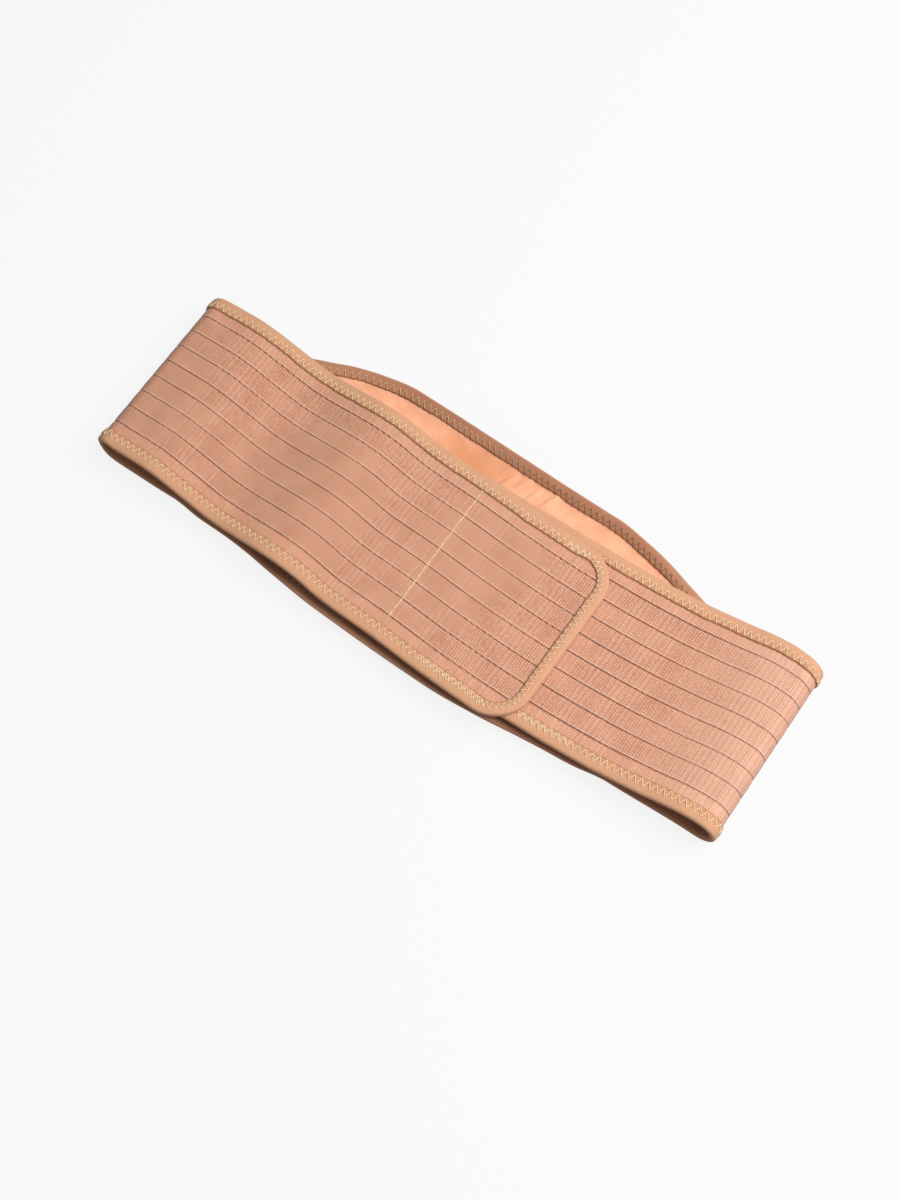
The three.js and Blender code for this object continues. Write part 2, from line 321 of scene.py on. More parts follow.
def cut_corners(piece, end, toward):
    """Cuts the two corners of a lap's end round. toward: 1 where the end is at its far side."""
    radius = corner_radius - lap_inset - 0.0006
    bpy.ops.object.mode_set(mode="EDIT")
    bpy.ops.mesh.select_mode(type="FACE")
    bpy.ops.mesh.select_all(action="DESELECT")
    bpy.ops.object.mode_set(mode="OBJECT")
    for face in piece.data.polygons:
        beyond = toward * (face.center.x - end) + corner_radius - lap_inset
        aside = abs(face.center.y) - (half_width - corner_radius)
        face.select = bool(beyond > 0 and aside > 0 and math.hypot(beyond, aside) > radius)
    bpy.ops.object.mode_set(mode="EDIT")
    bpy.ops.mesh.delete(type="FACE")
    bpy.ops.object.mode_set(mode="OBJECT")


def smooth(piece):
    piece.data.polygons.foreach_set("use_smooth", [True] * len(piece.data.polygons))


def ribbed_cloth(name, course, alongs, end, toward, twist, seed):
    """Elastic with its ribs sunk in the outer face, cut flat and then laid on its course."""
    acrosses = [-cloth_edge]
    for centre in rib_centres:
        acrosses += list(np.linspace(acrosses[-1], centre - rib_half, 10)[1:])
        acrosses += [centre + share * rib_half for share in (-0.5, 0, 0.5, 1)]
    acrosses += list(np.linspace(acrosses[-1], cloth_edge, 10)[1:])
    piece = flat_cloth(name, alongs, acrosses)
    cut_corners(piece, end, toward)
    thicken(piece, elastic_thickness)
    x, y, z = points_of(piece).T
    outer = z > 0
    luck = random.Random(seed)
    between = np.full(x.shape, cloth_edge)
    sunk = np.zeros(x.shape)
    for centre in rib_centres:
        phase = luck.uniform(0, 2 * math.pi)
        turns = 2 * math.pi * x / rope_pitch + phase
        sway = rib_sway * twist * np.sin(turns)
        depth = rib_depth * (1 - 0.3 * twist * (0.5 + 0.5 * np.cos(turns)))
        off = np.abs(y - centre - sway)
        between = np.minimum(between, off)
        sunk = np.maximum(sunk, depth * np.clip(1 - off / rib_half, 0, 1))
    crown = crown_height * np.sqrt(np.clip(between / crown_reach, 0, 1))
    set_points(piece, course.place(x, y, z + np.where(outer, crown - sunk, 0)))
    smooth(piece)
    return piece


left_cloth = ribbed_cloth(
    "left_ribbed_cloth",
    left_course,
    [*np.arange(0, 0.048, 0.003), *np.linspace(0.048, left_course.length, 266)],
    left_course.length,
    1,
    twist=1.0,
    seed=3,
)


def feed(tree, made, inputs):
    """Gives each named input of a node its value or its link."""
    for name, value in inputs.items():
        if isinstance(value, bpy.types.NodeSocket):
            tree.links.new(value, made.inputs[name])
        else:
            made.inputs[name].default_value = value


def put(tree, kind, inputs, **settings):
    """A node of a shader tree with its settings and inputs. Gives its first output."""
    made = tree.nodes.new(kind)
    for name, value in settings.items():
        setattr(made, name, value)
    feed(tree, made, inputs)
    return made.outputs[0]


def sum_of(tree, operation, *values):
    """The result of a sum on values, in the order that the operation takes them."""
    return put(tree, "ShaderNodeMath", dict(enumerate(values)), operation=operation)


def eased(tree, value, low, high, start=0.0, stop=1.0):
    """Goes softly from start to stop while a value goes from low to high."""
    return put(
        tree,
        "ShaderNodeMapRange",
        {0: value, 1: low, 2: high, 3: start, 4: stop},
        interpolation_type="SMOOTHSTEP",
    )


def mixed(tree, share, first, second):
    """One colour over another by a share."""
    made = put(tree, "ShaderNodeMix", {0: share, 6: first, 7: second}, data_type="RGBA")
    return made.node.outputs[2]


def rgb(red, green, blue):
    return (red, green, blue, 1)


def noise(tree, where, scale, detail=2.0):
    return put(tree, "ShaderNodeTexNoise", {"Vector": where, "Scale": scale, "Detail": detail})


def group_of(name, inputs, outputs):
    """A new node group: its tree, its inputs by name, and the node that its results go to."""
    tree = bpy.data.node_groups.new(name, "ShaderNodeTree")
    for socket, kind in inputs:
        tree.interface.new_socket(socket, in_out="INPUT", socket_type=kind)
    for socket in outputs:
        tree.interface.new_socket(socket, in_out="OUTPUT", socket_type="NodeSocketFloat")
    taken = tree.nodes.new("NodeGroupInput").outputs
    return tree, taken, tree.nodes.new("NodeGroupOutput")


def use_group(tree, group, inputs):
    """A group's node in a tree. Gives its outputs."""
    made = tree.nodes.new("ShaderNodeGroup")
    made.node_tree = group
    feed(tree, made, inputs)
    return made.outputs


def finish_of(name, roughness, sheen, height, depth, colour):
    """A cloth finish: a matt shader with a little sheen, and a relief of some depth in metres."""
    material = bpy.data.materials.new(name)
    material.use_nodes = True
    tree = material.node_tree
    shader = tree.nodes["Principled BSDF"]
    shader.inputs["Specular IOR Level"].default_value = 0.4
    shader.inputs["Sheen Weight"].default_value = sheen
    shader.inputs["Sheen Roughness"].default_value = 0.5
    shader.inputs["Sheen Tint"].default_value = rgb(1, 0.9, 0.85)
    shader.inputs["Roughness"].default_value = roughness
    tree.links.new(colour(tree), shader.inputs["Base Color"])
    relief = put(tree, "ShaderNodeBump", {"Height": height(tree), "Distance": depth})
    tree.links.new(relief, shader.inputs["Normal"])
    return material


# The elastic's weave: short lengthwise floats in columns and rows a millimetre or two apart, with
# dark gaps between. Some columns are paler, and so is a thread every few millimetres. Beside the
# tapes, beyond 50 mm from the middle, the floats are finer and slant.
float_length = 0.00175
float_width = 0.0013
weave_drift = 0.0007
slant_length = 0.011
slant_width = 0.0013
weave, taken, results = group_of(
    "elastic_weave", [("Cloth", "NodeSocketVector")], ["Float", "Column", "Line", "Edge_shadow"]
)
flat_place = put(weave, "ShaderNodeSeparateXYZ", {0: taken["Cloth"]}).node.outputs
uneven = noise(weave, taken["Cloth"], 120.0, 1.0)
drift = sum_of(weave, "MULTIPLY", sum_of(weave, "SUBTRACT", uneven, 0.5), weave_drift)
column = sum_of(weave, "DIVIDE", sum_of(weave, "ADD", flat_place[0], drift), float_length)
row = sum_of(weave, "DIVIDE", sum_of(weave, "ADD", flat_place[1], drift), float_width)
column_luck = put(
    weave,
    "ShaderNodeTexWhiteNoise",
    {"W": sum_of(weave, "FLOOR", column)},
    noise_dimensions="1D",
)
row = sum_of(weave, "ADD", row, sum_of(weave, "MULTIPLY", column_luck, 0.5))
float_spot = put(
    weave,
    "ShaderNodeCombineXYZ",
    {0: sum_of(weave, "FLOOR", column), 1: sum_of(weave, "FLOOR", row)},
)
float_luck = put(weave, "ShaderNodeTexWhiteNoise", {"Vector": float_spot}, noise_dimensions="3D")


def hump(tree, value, low, high):
    """How far a value is from the half between two whole numbers, eased from low to high."""
    off = sum_of(tree, "ABSOLUTE", sum_of(tree, "SUBTRACT", sum_of(tree, "FRACT", value), 0.5))
    return eased(tree, off, low, high)


floats = sum_of(weave, "MULTIPLY", hump(weave, column, 0.5, 0.3), hump(weave, row, 0.48, 0.12))
floats = sum_of(weave, "MULTIPLY", floats, eased(weave, float_luck, 0.0, 1.0, 0.6, 1.0))
wide_column = sum_of(weave, "DIVIDE", column, 2.0)
wide_luck = put(
    weave,
    "ShaderNodeTexWhiteNoise",
    {"W": sum_of(weave, "FLOOR", wide_column)},
    noise_dimensions="1D",
)
between = hump(weave, wide_column, 0.3, 0.48)
pale_line = sum_of(weave, "MULTIPLY", sum_of(weave, "GREATER_THAN", wide_luck, 0.35), between)
beside_tape = eased(weave, sum_of(weave, "ABSOLUTE", flat_place[1]), 0.0497, 0.0507, 0.0, 0.55)
slant = sum_of(weave, "DIVIDE", flat_place[0], slant_length)
slant = sum_of(weave, "ADD", slant, sum_of(weave, "DIVIDE", flat_place[1], slant_width))
floats = put(
    weave, "ShaderNodeMix", {0: beside_tape, 2: floats, 3: hump(weave, slant, 0.45, 0.15)}
)
weave.links.new(floats, results.inputs["Float"])
weave.links.new(sum_of(weave, "MULTIPLY", wide_luck, column_luck), results.inputs["Column"])
weave.links.new(pale_line, results.inputs["Line"])
# Painted shadow of the tape's inner edge, on the cloth just inside the tape
tape_shadow = eased(weave, sum_of(weave, "ABSOLUTE", flat_place[1]), 0.0553, 0.0562, 0.1, 0.6)
weave.links.new(sum_of(weave, "MULTIPLY", beside_tape, tape_shadow), results.inputs["Edge_shadow"])

# The ribs' threads: a thin dark twisted cord in each groove, thicker at each slanting turn, and a
# painted highlight along each groove's upper lip.
last_rib_edge = 0.052
turn_slant = 0.0026
ribs, taken, results = group_of(
    "rib_threads", [("Cloth", "NodeSocketVector"), ("Twist", "NodeSocketFloat")], ["Dark", "Lip_highlight"]
)
flat_place = put(ribs, "ShaderNodeSeparateXYZ", {0: taken["Cloth"]}).node.outputs
rib = sum_of(ribs, "ADD", sum_of(ribs, "DIVIDE", flat_place[1], rib_pitch), 3.5)
rib_number = sum_of(ribs, "ROUND", rib)
rib_luck = put(ribs, "ShaderNodeTexWhiteNoise", {"W": rib_number}, noise_dimensions="1D")
off_rib = sum_of(ribs, "MULTIPLY", sum_of(ribs, "SUBTRACT", rib, rib_number), rib_pitch)
on_belt = sum_of(ribs, "LESS_THAN", sum_of(ribs, "ABSOLUTE", flat_place[1]), last_rib_edge)
turns = sum_of(ribs, "ADD", sum_of(ribs, "DIVIDE", flat_place[0], rope_pitch), rib_luck)
turns = sum_of(ribs, "ADD", turns, sum_of(ribs, "DIVIDE", off_rib, turn_slant))
knot = hump(ribs, turns, 0.42, 0.12)
patchy = eased(ribs, noise(ribs, taken["Cloth"], 24.0, 1.0), 0.35, 0.65, 0.35, 1.0)
thinned = sum_of(ribs, "MULTIPLY", sum_of(ribs, "SUBTRACT", 1.0, knot), taken["Twist"])
thinned = sum_of(ribs, "MULTIPLY", thinned, patchy)
reach = sum_of(ribs, "MULTIPLY_ADD", thinned, -0.00040, 0.00072)
off = sum_of(ribs, "DIVIDE", sum_of(ribs, "ABSOLUTE", off_rib), reach)
trough = eased(ribs, off, 1.0, 0.3)
faint = sum_of(ribs, "SUBTRACT", 1.0, sum_of(ribs, "MULTIPLY", thinned, 0.6))
dark = sum_of(ribs, "MULTIPLY", sum_of(ribs, "MULTIPLY", trough, faint), on_belt)
# Painted highlight: a pale line along each groove's upper lip
lip_off = sum_of(ribs, "ABSOLUTE", sum_of(ribs, "SUBTRACT", off_rib, 0.0011))
lip_highlight = sum_of(ribs, "MULTIPLY", eased(ribs, lip_off, 0.0007, 0.0001), on_belt)
ribs.links.new(dark, results.inputs["Dark"])
ribs.links.new(lip_highlight, results.inputs["Lip_highlight"])


def cloth_map(tree):
    """The cloth's flat places, from its UV map."""
    return put(tree, "ShaderNodeUVMap", {})


def elastic_finish(name, twist, crossed):
    """Peach elastic. twist: how roped its ribs' threads look. crossed: how pale its cross lines."""

    def colour(tree):
        cloth = cloth_map(tree)
        woven = use_group(tree, weave, {"Cloth": cloth})
        threads = use_group(tree, ribs, {"Cloth": cloth, "Twist": twist})
        ground = mixed(tree, woven["Float"], rgb(0.34, 0.120, 0.062), rgb(0.92, 0.48, 0.31))
        column = eased(tree, woven["Column"], 0.0, 0.7, 0.0, 0.35)
        ground = mixed(tree, column, ground, rgb(0.53, 0.235, 0.14))
        line = sum_of(tree, "MULTIPLY", woven["Line"], crossed)
        ground = mixed(tree, line, ground, rgb(0.95, 0.60, 0.44))
        soft = eased(tree, noise(tree, cloth, 55.0, 3.0), 0.3, 0.7, 0.0, 0.2)
        ground = mixed(tree, soft, ground, rgb(0.86, 0.46, 0.30))
        where = put(tree, "ShaderNodeTexCoord", {}).node.outputs["Object"]
        place = put(tree, "ShaderNodeSeparateXYZ", {0: where})
        # Painted sheen: the cloth is made paler toward the right fold, where the lamp's light grazes
        # it
        painted_sheen = eased(tree, place, 0.15, 0.23, 0.0, 0.18)
        ground = mixed(tree, painted_sheen, ground, rgb(0.95, 0.64, 0.50))
        # Painted shadow just inside the tapes' inner edges
        ground = mixed(tree, woven["Edge_shadow"], ground, rgb(0.30, 0.10, 0.055))
        # Painted highlight on each groove's upper lip
        lip_highlight = sum_of(tree, "MULTIPLY", threads["Lip_highlight"], 0.4)
        ground = mixed(tree, lip_highlight, ground, rgb(0.93, 0.63, 0.50))
        faded = eased(tree, place, 0.13, 0.22, 0.92, 0.6)
        dark = sum_of(tree, "MULTIPLY", threads["Dark"], faded)
        return mixed(tree, dark, ground, rgb(0.16, 0.055, 0.032))

    def height(tree):
        cloth = cloth_map(tree)
        woven = use_group(tree, weave, {"Cloth": cloth})
        fuzz = sum_of(tree, "MULTIPLY", noise(tree, cloth, 1500.0, 2.0), 0.4)
        return sum_of(tree, "ADD", woven["Float"], fuzz)

    return finish_of(name, 0.6, 0.25, height, 0.00025, colour)


left_cloth.data.materials.append(elastic_finish("left_elastic", 1.0, 0.25))
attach(left_cloth, "root")
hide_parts("left_elastic_panel")

# Right elastic panel: the same elastic, sewn to the back panel's right seam. It runs round the
# right fold, and its rounded inner end lies under the flap. Only its right part shows.
right_reach = right_course.length
shown_from = 0.092
right_shown = right_course.along_at(shown_from)
right_cloth = ribbed_cloth(
    "right_ribbed_cloth",
    right_course,
    [
        *np.arange(0, right_shown, 0.0035),
        *np.linspace(right_shown, right_shown + 0.17, 160),
        *np.linspace(right_shown + 0.173, right_reach, 18),
    ],
    0,
    -1,
    twist=0.35,
    seed=5,
)
right_cloth.data.materials.append(elastic_finish("right_elastic", 0.25, 0.3))
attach(right_cloth, "root")
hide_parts("right_elastic_panel")

# Back panel: an outer shell of plain knitted cloth, cut with an arched top and bottom edge, with
# its side edges sewn to the elastic. It is the belt's outer face at the back, and lies underneath.
back_course = Course(stretch(back_layer, right_seam, left_seam))
back_cloth_thickness = 0.0009
back_cloth_level = 0.00065


def back_cloth(name, level, relief):
    """A width of the back panel's cloth at a level out from the middle, laid between its tapes."""
    alongs = np.linspace(0, back_course.length, 300)
    piece = flat_cloth(name, alongs, np.linspace(-1, 1, 90))
    x, y, z = points_of(piece).T
    top, bottom = back_course.edges(x)
    across = (y + 1) / 2 * (top + bottom - 2 * lap_inset) - (bottom - lap_inset)
    lay_flat(piece, x, across)
    thicken(piece, back_cloth_thickness)
    x, y, z = points_of(piece).T
    set_points(piece, back_course.place(x, y, z + level + relief(x, y)))
    smooth(piece)
    return piece


wale_pitch = 0.0012
loop_pitch = 0.001
shell = back_cloth("back_shell_cloth", back_cloth_level, lambda x, y: 0 * x)


def shell_colour(tree):
    knit = noise(tree, cloth_map(tree), 900.0, 2.0)
    return mixed(tree, eased(tree, knit, 0.3, 0.7), rgb(0.52, 0.27, 0.17), rgb(0.66, 0.38, 0.25))


def knit_height(tree):
    """Fine knitted wales across the panel, and rows of loops along it."""
    where = put(tree, "ShaderNodeSeparateXYZ", {0: cloth_map(tree)}).node.outputs
    wale = sum_of(tree, "SINE", sum_of(tree, "MULTIPLY", where[0], 2 * math.pi / wale_pitch))
    loops = sum_of(tree, "SINE", sum_of(tree, "MULTIPLY", where[1], 2 * math.pi / loop_pitch))
    return sum_of(tree, "MULTIPLY_ADD", wale, loops, 0.5)


shell.data.materials.append(finish_of("knitted_shell", 0.9, 0.1, knit_height, 0.0002, shell_colour))
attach(shell, "root")
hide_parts("back_panel")

# Back lining: soft brushed cloth of the same cut, against the wearer. It shows behind the front's
# top edge, where the press of the fold has left small slanting wrinkles.
wrinkles = [(0.000, 0.069, 0.5), (0.009, 0.072, 0.6), (0.019, 0.069, 0.4), (0.031, 0.073, 0.5)]
wrinkle_height = 0.0022
wrinkle_width = 0.0018
wrinkle_length = 0.007
swell_height = 0.0005

# Painted shade on the nap, where the front's top edge shades it
hollow_middle = right_seam + 0.026
hollow_half = 0.044


def lining_relief(x, y):
    """Broad soft swells, and the small wrinkles by the front's edge."""
    at = right_seam - x
    swell = swell_height * np.sin(at / 0.021 + 1.1) * np.cos(y / 0.03)
    for spot, height, slant in wrinkles:
        beside = ((at - spot) - slant * (y - height)) / wrinkle_width
        up = (y - height) / wrinkle_length
        swell = swell + wrinkle_height * np.exp(-(beside**2) - up**2)
    return -np.abs(swell)


lining = back_cloth("back_lining_cloth", -back_cloth_level, lining_relief)


def lining_colour(tree):
    cloth = cloth_map(tree)
    nap = eased(tree, noise(tree, cloth, 90.0, 4.0), 0.3, 0.7)
    ground = mixed(tree, nap, rgb(0.82, 0.370, 0.20), rgb(0.93, 0.455, 0.265))
    fuzz = eased(tree, noise(tree, cloth, 1400.0, 2.0), 0.35, 0.7, 0.0, 0.35)
    ground = mixed(tree, fuzz, ground, rgb(0.98, 0.54, 0.33))
    where = put(tree, "ShaderNodeSeparateXYZ", {0: cloth}).node.outputs
    # Painted shade under the front's top edge, with a ragged upper border
    off_hollow = sum_of(tree, "ABSOLUTE", sum_of(tree, "SUBTRACT", where[0], hollow_middle))
    painted_shade = eased(tree, off_hollow, hollow_half, 0.0)
    ragged = sum_of(tree, "MULTIPLY_ADD", noise(tree, cloth, 130.0, 3.0), 0.012, where[1])
    painted_shade = sum_of(tree, "MULTIPLY", painted_shade, eased(tree, ragged, 0.090, 0.074, 0.0, 0.8))
    return mixed(tree, painted_shade, ground, rgb(0.66, 0.25, 0.105))


def nap_height(tree):
    return noise(tree, cloth_map(tree), 1100.0, 3.0)


lining.data.materials.append(finish_of("brushed_nap", 0.95, 0.3, nap_height, 0.00025, lining_colour))
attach(lining, "root")
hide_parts("back_lining")

# Hook strip: the plain stiff tape under the flap whose hooks hold it to the inner end. It fills
# the lap between the tapes of both layers.
strip_start = -0.003
strip_length = flap_reach - corner_radius - strip_start
strip_width = 0.0955
strip_thickness = 0.0018
strip_gap = 0.0004
strip_shift = 0.0025
strip_course = Course(stretch(flap_layer, strip_start, strip_start + strip_length))
hook_strip = flat_cloth(
    "hook_strip",
    np.linspace(0, strip_course.length, 40),
    np.linspace(-strip_width / 2, strip_width / 2, 30),
)
thicken(hook_strip, strip_thickness)
x, y, z = points_of(hook_strip).T
under_flap = elastic_thickness / 2 + strip_gap + strip_thickness / 2
set_points(hook_strip, strip_course.place(x, y + strip_shift, z - under_flap))
smooth(hook_strip)


def hook_colour(tree):
    fuzz = noise(tree, cloth_map(tree), 1200.0, 2.0)
    return mixed(tree, eased(tree, fuzz, 0.3, 0.7), rgb(0.46, 0.28, 0.19), rgb(0.62, 0.41, 0.29))


def hook_height(tree):
    return noise(tree, cloth_map(tree), 1600.0, 1.0)


hook_strip.data.materials.append(finish_of("hooks", 0.7, 0.0, hook_height, 0.0004, hook_colour))
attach(hook_strip, "root")
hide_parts("hook_patch")

# Binding: a velvety tape folded over the raw edges, in one length round the belt's whole edge. It
# is sewn on narrower round the two rounded ends, and its own ends meet under the flap.
loop_course = Course(
    stretch(inner_layer, corner_radius - inner_reach, right_centre),
    right_fold[::-1][1:-1],
    stretch(back_layer, right_centre, left_centre),
    left_fold[1:-1],
    stretch(flap_layer, left_centre, flap_reach - corner_radius),
)
tape_width = 0.010
end_tape_width = 0.008
tape_thickness = 0.0009
stitch_pitch = 0.0048
stitch_pull = 0.00022
edge_wander = 0.0007
# The tape narrows over this length, from this far beyond a rounded end
narrowing = 0.02
narrowing_start = 0.008
long_edge = loop_course.length
arc_length = math.pi / 2 * corner_radius
straight_half = half_width - corner_radius
end_length = 2 * arc_length + 2 * straight_half
whole_edge = 2 * (long_edge + end_length)

# The middle of the folded tape, as distances in from the edge and out from the cloth's middle
upper_face = [
    (0.0100, 0.0016),
    (0.0080, 0.0018),
    (0.0050, 0.00192),
    (0.0025, 0.00188),
    (0.0010, 0.0015),
    (0.0006, 0.0009),
]
tape_section = np.array(
    [*upper_face, (0.0005, 0), *[(inset, -out) for inset, out in upper_face[::-1]]]
)


def bottom_edge(along, inset, out):
    return loop_course.place(along, inset - loop_course.edges(along)[1], out)


def top_edge(along, inset, out):
    """The top edge, travelled from the flap back to the inner end."""
    forward = long_edge - along
    return loop_course.place(forward, loop_course.edges(forward)[0] - inset, out)


def round_end(layer, reach, side):
    """Places a piece along a lap's rounded end. side: 1 for an end that points to +X, -1 to -X."""

    def place(along, inset, out):
        before = np.clip(along, 0, arc_length)
        after = np.clip(along - arc_length - 2 * straight_half, 0, arc_length)
        straight = np.clip(along - arc_length, 0, 2 * straight_half)
        angle = (before + after) / corner_radius - math.pi / 2
        ahead = reach - corner_radius + (corner_radius - inset) * np.cos(angle)
        aside = straight - straight_half + (corner_radius - inset) * np.sin(angle)
        rows = stations(layer, side * ahead)
        across = side * aside
        return np.stack(
            [
                rows[:, 0] + out * rows[:, 2] - across * rows[:, 5] + shift_x,
                rows[:, 4] + across + shift_y,
                rows[:, 1] + out * rows[:, 3],
            ],
            -1,
        )

    return place


edge_runs = [
    (end_length, round_end(inner_layer, inner_reach, -1)),
    (long_edge, bottom_edge),
    (end_length, round_end(flap_layer, flap_reach, 1)),
    (long_edge, top_edge),
]


def round_belt(along, inset, out):
    """Places a piece by its distance round the belt's edge, from the middle of the inner end."""
    at = (along + end_length / 2) % whole_edge
    points = np.empty((len(at), 3))
    start = 0
    for length, place in edge_runs:
        here = (at >= start) & (at <= start + length)
        points[here] = place(at[here] - start, inset[here], out[here])
        start += length
    points[:, 2] = np.maximum(points[:, 2], 0)
    return points


def width_at(along):
    """The tape's width at some distance round the belt's edge."""
    halves = along / (whole_edge / 2)
    off_end = np.abs(halves - np.round(halves)) * whole_edge / 2
    narrowed = np.clip((end_length / 2 + narrowing_start - off_end) / narrowing, 0, 1)
    return tape_width - (tape_width - end_tape_width) * narrowed**2 * (3 - 2 * narrowed)


def tape_top(along, inset):
    """How far out the tape's face is at some distance in from its folded edge."""
    upper = tape_section[: len(upper_face)][::-1]
    share = inset / width_at(along) * tape_width
    return np.interp(share, upper[:, 0], upper[:, 1]) + tape_thickness / 2


steps = np.hypot(*np.diff(tape_section, axis=0).T)
around = np.concatenate([[0], np.cumsum(steps)])
tape_flat = around[-1]
section_lines = np.interp(np.linspace(0, len(around) - 1, 19), np.arange(len(around)), around)
binding = flat_cloth("folded_binding", np.linspace(0, whole_edge, 1500), section_lines)
x, y, z = points_of(binding).T
luck = random.Random(11)
inset = np.interp(y, around, tape_section[:, 0])
out = np.interp(y, around, tape_section[:, 1])
slow = np.zeros(x.shape)
for wave in (0.047, 0.031, 0.019, 0.0113):
    slow += math.sqrt(wave) * np.sin(2 * math.pi * x / wave + luck.uniform(0, 6.28))
loose = inset / tape_width
pull = stitch_pull * np.cos(2 * math.pi * x / stitch_pitch) * np.clip(3 * loose - 2, 0, 1)
inset = loose * width_at(x) + edge_wander * slow * loose + pull
out = out * (1 + 0.35 * slow * np.clip(1 - 2 * loose, 0, 1))
set_points(binding, np.stack([x, inset, out], -1))
thicken(binding, tape_thickness)
set_points(binding, round_belt(*points_of(binding).T))
smooth(binding)

# How far round the belt's edge the back panel's lower middle is, where light reaches the tape and
# less painted shade goes on its inner face
lit_lower_middle = end_length / 2 + loop_course.along_at(0, -1)


def tape_colour(tree):
    """Tan pile, darker where the seam presses it down, with painted shade on the inner face, less of
    it at the back panel's lower middle, and a painted shadow line at its raw edges.
    """
    cloth = cloth_map(tree)
    pile = eased(tree, noise(tree, cloth, 1600.0, 2.0), 0.3, 0.7)
    ground = mixed(tree, pile, rgb(0.54, 0.266, 0.146), rgb(0.65, 0.346, 0.202))
    worn = eased(tree, noise(tree, cloth, 70.0, 2.0), 0.35, 0.65, 0.0, 0.3)
    ground = mixed(tree, worn, ground, rgb(0.62, 0.335, 0.175))
    where = put(tree, "ShaderNodeSeparateXYZ", {0: cloth}).node.outputs
    off_fold = sum_of(tree, "ABSOLUTE", sum_of(tree, "SUBTRACT", where[1], tape_flat / 2))
    pressed = eased(tree, off_fold, tape_flat / 2 - 0.0048, tape_flat / 2 - 0.0036, 0.0, 0.4)
    ground = mixed(tree, pressed, ground, rgb(0.46, 0.215, 0.085))
    # Painted shade on the tape's inner face, mostly left off at the back panel's lower middle where
    # light reaches it
    painted_inner_shade = eased(tree, where[1], tape_flat / 2 - 0.001, tape_flat / 2 + 0.001, 0.0, 0.6)
    off_middle = sum_of(tree, "ABSOLUTE", sum_of(tree, "SUBTRACT", where[0], lit_lower_middle))
    painted_inner_shade = sum_of(tree, "MULTIPLY", painted_inner_shade, eased(tree, off_middle, 0.05, 0.1, 0.1, 1.0))
    ground = mixed(tree, painted_inner_shade, ground, rgb(0.40, 0.150, 0.080))
    # Painted shadow: a dark line at the tape's raw edges, where it meets the cloth
    painted_edge_shadow = eased(tree, off_fold, tape_flat / 2 - 0.0008, tape_flat / 2 - 0.0003, 0.0, 0.4)
    return mixed(tree, painted_edge_shadow, ground, rgb(0.30, 0.10, 0.05))


def pile_height(tree):
    return noise(tree, cloth_map(tree), 1300.0, 3.0)


binding.data.materials.append(
    finish_of("velvet_pile", 0.85, 0.3, pile_height, 0.00015, tape_colour)
)
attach(binding, "root")
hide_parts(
    *[f"{part}_{edge}_binding" for part in ("left", "back", "right") for edge in ("top", "bottom")],
    "flap_end_binding",
    "inner_end_binding",
)

# Zigzag seams: a thick cream thread sews the binding down on both faces. Its peaks point to the
# belt's edge, and its feet stand at the tape's inner edge.
thread_half = 0.00025
peak_reach = 0.0052
foot_reach = 0.0002
stitch_unevenness = 0.07
foot_unevenness = 0.0004


def thread_colour(tree):
    where = put(tree, "ShaderNodeTexCoord", {}).node.outputs["Object"]
    twist = eased(tree, noise(tree, where, 2200.0, 2.0), 0.3, 0.7)
    return mixed(tree, twist, rgb(0.74, 0.52, 0.31), rgb(0.93, 0.74, 0.50))


def inner_colour(tree):
    """The bobbin's thread, with painted shade that darkens it toward the right."""
    where = put(tree, "ShaderNodeTexCoord", {}).node.outputs["Object"]
    place = put(tree, "ShaderNodeSeparateXYZ", {0: where})
    # Painted shade: the thread darkens toward the right
    sunk = eased(tree, place, -0.06, 0.03, 0.35, 0.9)
    return mixed(tree, sunk, thread_colour(tree), rgb(0.22, 0.10, 0.05))


def thread_height(tree):
    where = put(tree, "ShaderNodeTexCoord", {}).node.outputs["Object"]
    return noise(tree, where, 3000.0, 1.0)


cream_thread = finish_of("cream_thread", 0.7, 0.2, thread_height, 0.0001, thread_colour)


def thread_along(name, runs, material, half=thread_half):
    """A thread through runs of points, as one mesh of slim tubes."""
    line = bpy.data.curves.new(name, "CURVE")
    line.dimensions = "3D"
    line.bevel_depth = half
    line.bevel_resolution = 1
    line.use_fill_caps = True
    for run in runs:
        run[:, 2] = np.maximum(run[:, 2], half)
        spline = line.splines.new("POLY")
        spline.points.add(len(run) - 1)
        spline.points.foreach_set("co", np.column_stack([run, np.ones(len(run))]).ravel())
    piece = bpy.data.objects.new(name, line)
    bpy.context.collection.objects.link(piece)
    bpy.ops.object.select_all(action="DESELECT")
    piece.select_set(True)
    bpy.context.view_layer.objects.active = piece
    bpy.ops.object.convert(target="MESH")
    piece = bpy.context.object
    smooth(piece)
    piece.data.materials.append(material)
    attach(piece, "root")


def zigzag(start, stop, face, seed, peak=peak_reach):
    """A run of zigzag between two distances round the edge. face: 1 for the outer side, or -1."""
    luck = random.Random(seed)
    corners = []
    for k in range(int((stop - start) / stitch_pitch * 2) + 1):
        along = start + (k + luck.uniform(-stitch_unevenness, stitch_unevenness)) * stitch_pitch / 2
        width = width_at(along)
        inset = width - foot_reach if k % 2 else width - peak * width / tape_width
        corners.append((along, inset - luck.uniform(0, foot_unevenness)))
    points = []
    for (along, inset), (next_along, next_inset) in zip(corners, corners[1:]):
        for share in (0.0, 0.12, 0.5, 0.88):
            at = inset + share * (next_inset - inset)
            raised = thread_half if share else 0.4 * thread_half
            level = tape_top(along, at) + raised
            points.append((along + share * (next_along - along), at, face * level))
    return round_belt(*np.array(points).T)


